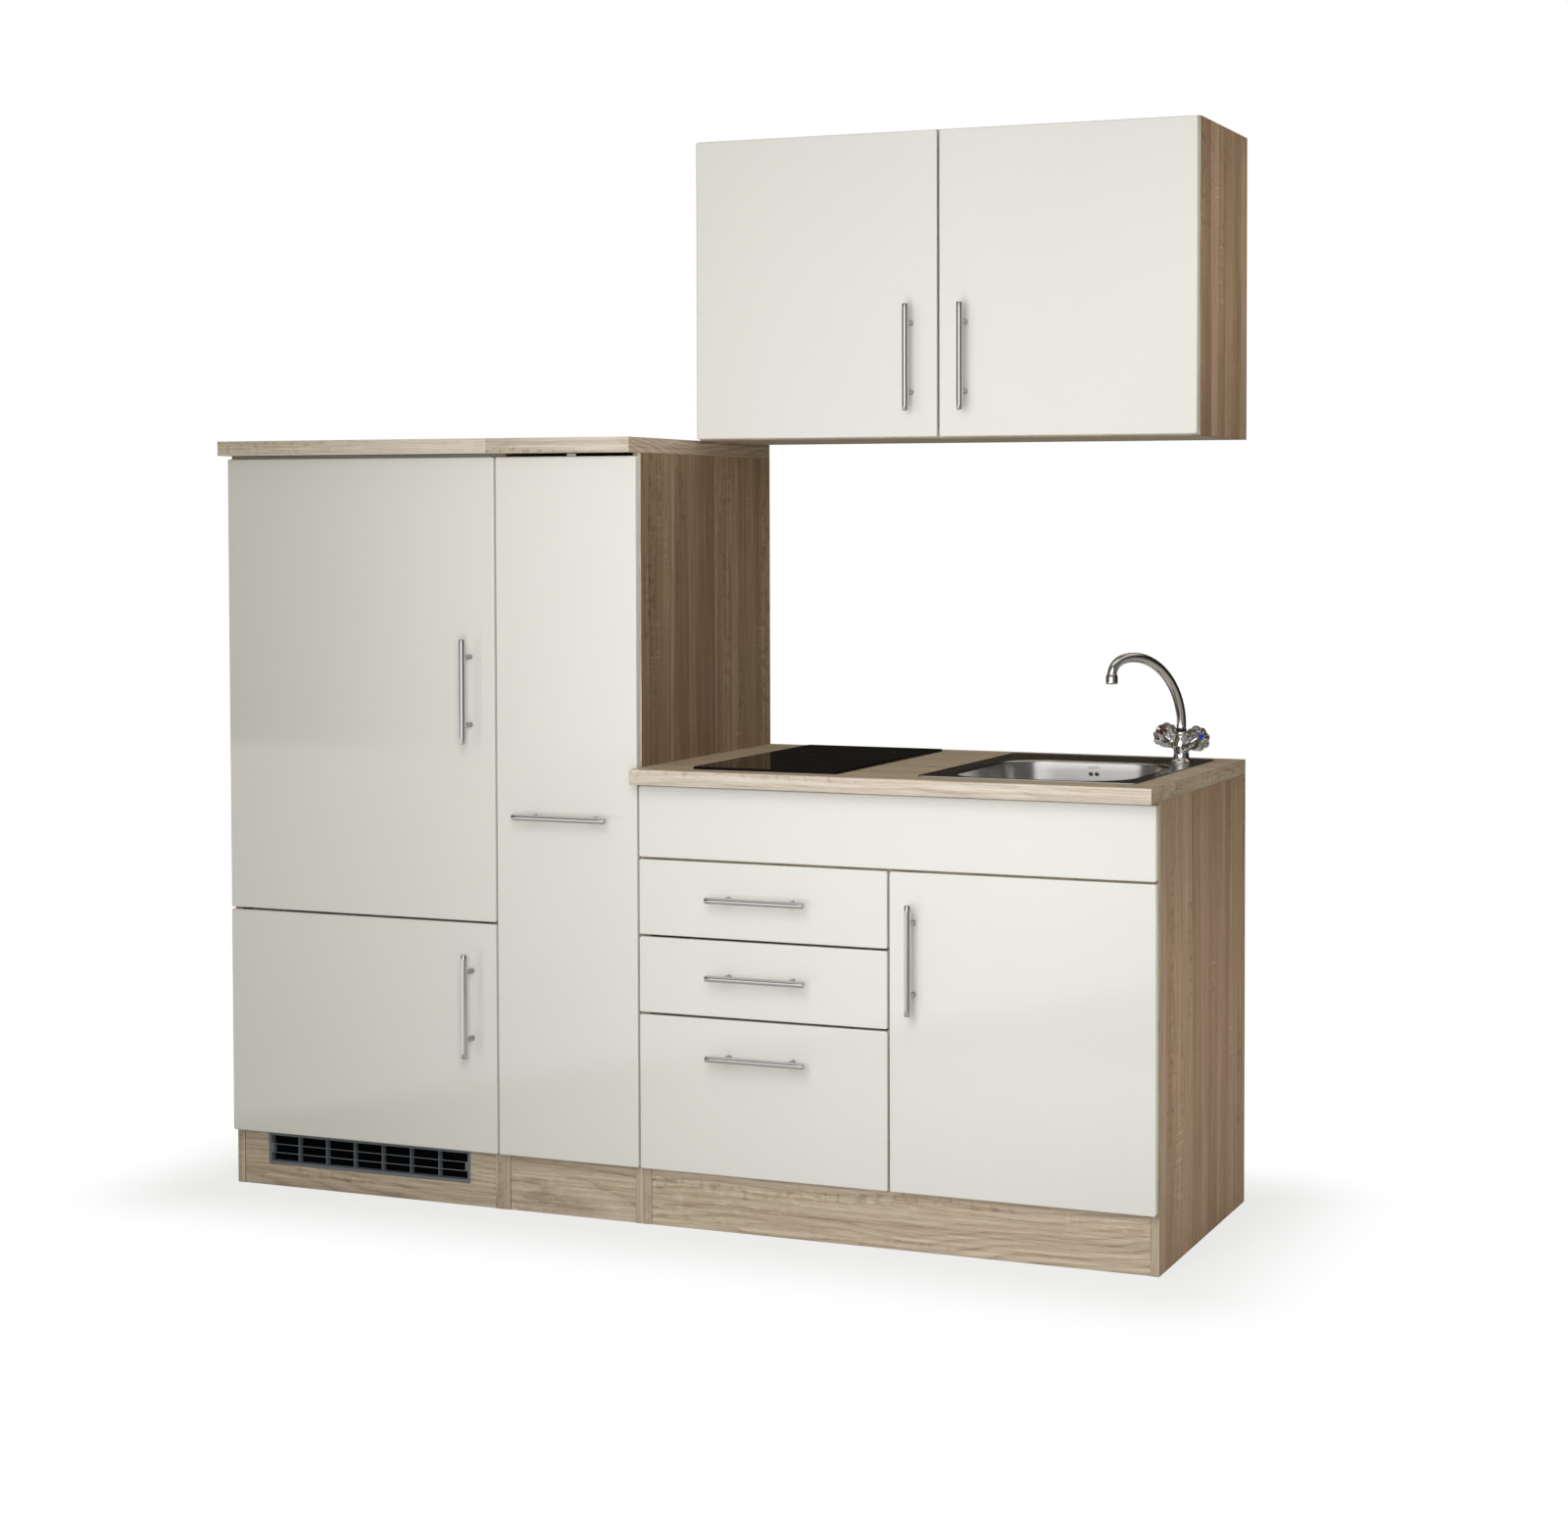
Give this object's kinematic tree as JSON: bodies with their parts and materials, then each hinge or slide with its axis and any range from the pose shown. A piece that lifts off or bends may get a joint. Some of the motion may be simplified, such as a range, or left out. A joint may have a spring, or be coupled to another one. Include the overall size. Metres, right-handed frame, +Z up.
{
  "type": "kitchenette unit",
  "caption": "Fitted kitchenette with fridge-freezer housing, pull-out larder, drawers, hob, inset sink with mixer tap and a wall cupboard.",
  "frame": {"origin": "on the floor, under the middle of the whole unit", "axes": "+X to the right seen from the front, +Y from the fronts to the wall, +Z up"},
  "size_m": [1.9, 0.601, 2.028],
  "materials": {
    "oak_decor": "rough-sawn light oak decor, matt, with cross saw marks",
    "gloss_ivory": "high-gloss ivory lacquer with thin khaki edges",
    "hardboard": "smooth white-faced hardboard",
    "brushed_steel": "brushed along the bar",
    "white_enamel": "white enamel and plastic liner",
    "grille_grey": "silver-grey painted plastic",
    "zinc_steel": "zinc-plated steel wire and rail",
    "drawer_grey": "light grey foil",
    "stainless": "brushed stainless sheet",
    "white_plastic": "white moulded plastic",
    "chrome": "polished",
    "clear_acrylic": "clear smoky acrylic with flutes",
    "black_glass": "polished black glass-ceramic",
    "black_steel": "black painted sheet"
  },
  "bodies": {
    "carcass": {"fridge_side_left": "oak_decor", "fridge_side_right": "oak_decor", "fridge_bottom": "oak_decor", "fridge_top_board": "oak_decor", "fridge_plinth": "oak_decor", "larder_side_left": "oak_decor", "larder_side_right": "oak_decor", "larder_plinth": "oak_decor", "larder_top_board": "oak_decor", "larder_bottom": "oak_decor", "base_side_left": "oak_decor", "base_side_right": "oak_decor", "base_partition": "oak_decor", "base_bottom": "oak_decor", "base_plinth": "oak_decor", "worktop": "oak_decor", "wall_side_left": "oak_decor", "wall_side_right": "oak_decor", "wall_bottom": "oak_decor", "wall_top": "oak_decor", "wall_shelf": "oak_decor", "base_apron": "gloss_ivory", "larder_back": "hardboard", "base_back": "hardboard", "wall_back": "hardboard", "cooler_cabinet": "white_enamel", "fridge_plinth_grille": "grille_grey", "sink": "stainless", "sink_waste": "white_plastic", "tap_body": "chrome", "hob_glass": "black_glass", "hob_casing": "black_steel"},
    "fridge_door": {"fridge_front": "gloss_ivory", "fridge_handle": "brushed_steel", "fridge_inner_door": "white_enamel"},
    "freezer_door": {"freezer_front": "gloss_ivory", "freezer_handle": "brushed_steel", "freezer_inner_door": "white_enamel"},
    "larder_pullout": {"larder_front": "gloss_ivory", "larder_handle": "brushed_steel", "larder_rack": "zinc_steel"},
    "larder_runner": {"larder_slide": "zinc_steel"},
    "drawer_top": {"drawer_1_box": "drawer_grey", "drawer_1_front": "gloss_ivory", "drawer_1_handle": "brushed_steel"},
    "drawer_middle": {"drawer_2_box": "drawer_grey", "drawer_2_front": "gloss_ivory", "drawer_2_handle": "brushed_steel"},
    "drawer_bottom": {"drawer_3_box": "drawer_grey", "drawer_3_front": "gloss_ivory", "drawer_3_handle": "brushed_steel"},
    "sink_cupboard_door": {"sink_door": "gloss_ivory", "sink_door_handle": "brushed_steel"},
    "wall_cupboard_door_left": {"wall_door_left": "gloss_ivory", "wall_handle_left": "brushed_steel"},
    "wall_cupboard_door_right": {"wall_door_right": "gloss_ivory", "wall_handle_right": "brushed_steel"},
    "tap_neck": {"tap_spout": "chrome"},
    "cold_knob": {"tap_knob_cold": "clear_acrylic"},
    "hot_knob": {"tap_knob_hot": "clear_acrylic"}
  },
  "joints": [
    {"name": "fridge_door_hinge", "type": "hinge", "parent": "carcass", "child": "fridge_door", "pos_m": [-0.948, -0.266, 0.984], "axis": [0, 0, -1], "range_deg": [0, 110]},
    {"name": "freezer_door_hinge", "type": "hinge", "parent": "carcass", "child": "freezer_door", "pos_m": [-0.948, -0.266, 0.33], "axis": [0, 0, -1], "range_deg": [0, 110]},
    {"name": "larder_pull", "type": "slide", "parent": "carcass", "child": "larder_pullout", "axis": [0, -1, 0], "range_m": [0, 0.48]},
    {"name": "larder_runner_slide", "type": "slide", "parent": "carcass", "child": "larder_runner", "axis": [0, -1, 0], "range_m": [0, 0.24]},
    {"name": "drawer_top_pull", "type": "slide", "parent": "carcass", "child": "drawer_top", "axis": [0, -1, 0], "range_m": [0, 0.4]},
    {"name": "drawer_middle_pull", "type": "slide", "parent": "carcass", "child": "drawer_middle", "axis": [0, -1, 0], "range_m": [0, 0.4]},
    {"name": "drawer_bottom_pull", "type": "slide", "parent": "carcass", "child": "drawer_bottom", "axis": [0, -1, 0], "range_m": [0, 0.4]},
    {"name": "sink_door_hinge", "type": "hinge", "parent": "carcass", "child": "sink_cupboard_door", "pos_m": [0.948, -0.266, 0.395], "axis": [0, 0, 1], "range_deg": [0, 110]},
    {"name": "wall_door_left_hinge", "type": "hinge", "parent": "carcass", "child": "wall_cupboard_door_left", "pos_m": [-0.048, -0.0265, 1.743], "axis": [0, 0, -1], "range_deg": [0, 110]},
    {"name": "wall_door_right_hinge", "type": "hinge", "parent": "carcass", "child": "wall_cupboard_door_right", "pos_m": [0.948, -0.0265, 1.743], "axis": [0, 0, 1], "range_deg": [0, 110]},
    {"name": "spout_swivel", "type": "hinge", "parent": "carcass", "child": "tap_neck", "pos_m": [0.856, 0.1885, 0.909], "axis": [0, 0, 1], "range_deg": [-90, 90]},
    {"name": "cold_knob_turn", "type": "hinge", "parent": "carcass", "child": "cold_knob", "pos_m": [0.87775, 0.17211, 0.88728], "axis": [0.7178, -0.5409, 0.4384], "range_deg": [0, 180]},
    {"name": "hot_knob_turn", "type": "hinge", "parent": "carcass", "child": "hot_knob", "pos_m": [0.83425, 0.20489, 0.88728], "axis": [-0.7178, 0.5409, 0.4384], "range_deg": [0, 180]}
  ],
  "couplings": [
    {"joint": "larder_runner_slide", "follows": "larder_pull", "ratio": 0.5}
  ]
}
